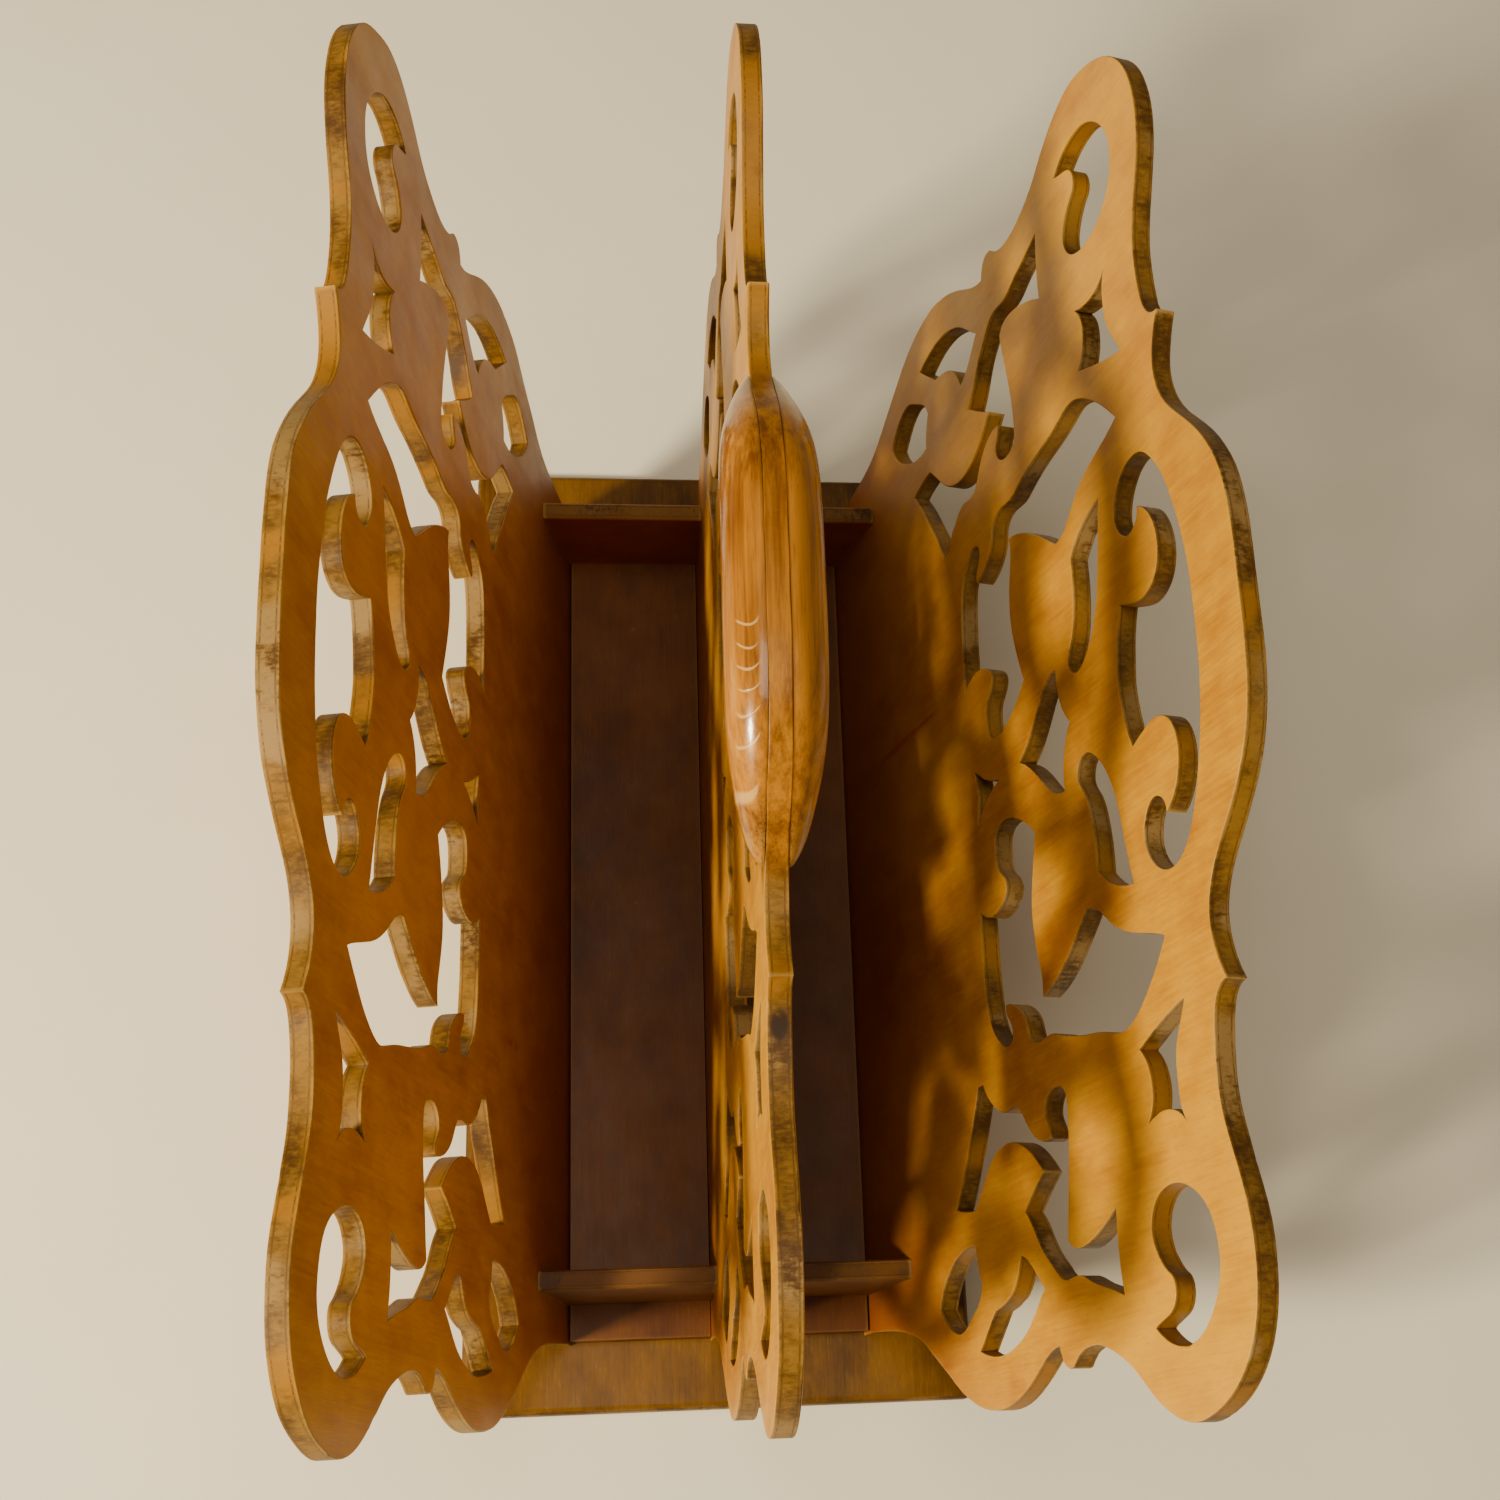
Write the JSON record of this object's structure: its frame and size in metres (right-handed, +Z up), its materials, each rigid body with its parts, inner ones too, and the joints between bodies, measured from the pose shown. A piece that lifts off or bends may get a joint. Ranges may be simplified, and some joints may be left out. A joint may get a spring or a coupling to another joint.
{
  "type": "quran stand",
  "caption": "Divided carrying stand for a Quran and papers: pierced fretwork side panels leaning outwards, an upright pierced divider with a rounded handle, on a flat base.",
  "frame": {"origin": "middle of the underside of the base", "axes": "+Z up, +Y along the panels, +X across the two pockets"},
  "size_m": [0.2588, 0.416, 0.3048],
  "materials": {
    "side_ply": "varnished plywood, amber stain",
    "centre_ply": "varnished plywood, amber stain",
    "base_ply": "varnished plywood, golden brown",
    "floor_ply": "varnished plywood, very dark brown",
    "strip_ply": "varnished plywood, dark brown",
    "grip_wood": "glossy varnished hardwood, orange brown",
    "dowel_wood": "bare hardwood",
    "pin_steel": "dull steel wire"
  },
  "bodies": {
    "root": {"base_plate": "base_ply", "floor_board_left": "floor_ply", "floor_board_right": "floor_ply", "left_panel": "side_ply", "right_panel": "side_ply", "centre_panel": "centre_ply", "front_end_strip": "strip_ply", "rear_end_strip": "strip_ply", "handle_grip_left": "grip_wood", "handle_grip_right": "grip_wood", "grip_dowels": "dowel_wood", "left_panel_pins": "pin_steel", "right_panel_pins": "pin_steel", "centre_panel_pins": "pin_steel", "floor_pins": "pin_steel", "front_strip_pins": "pin_steel", "rear_strip_pins": "pin_steel"}
  },
  "joints": []
}
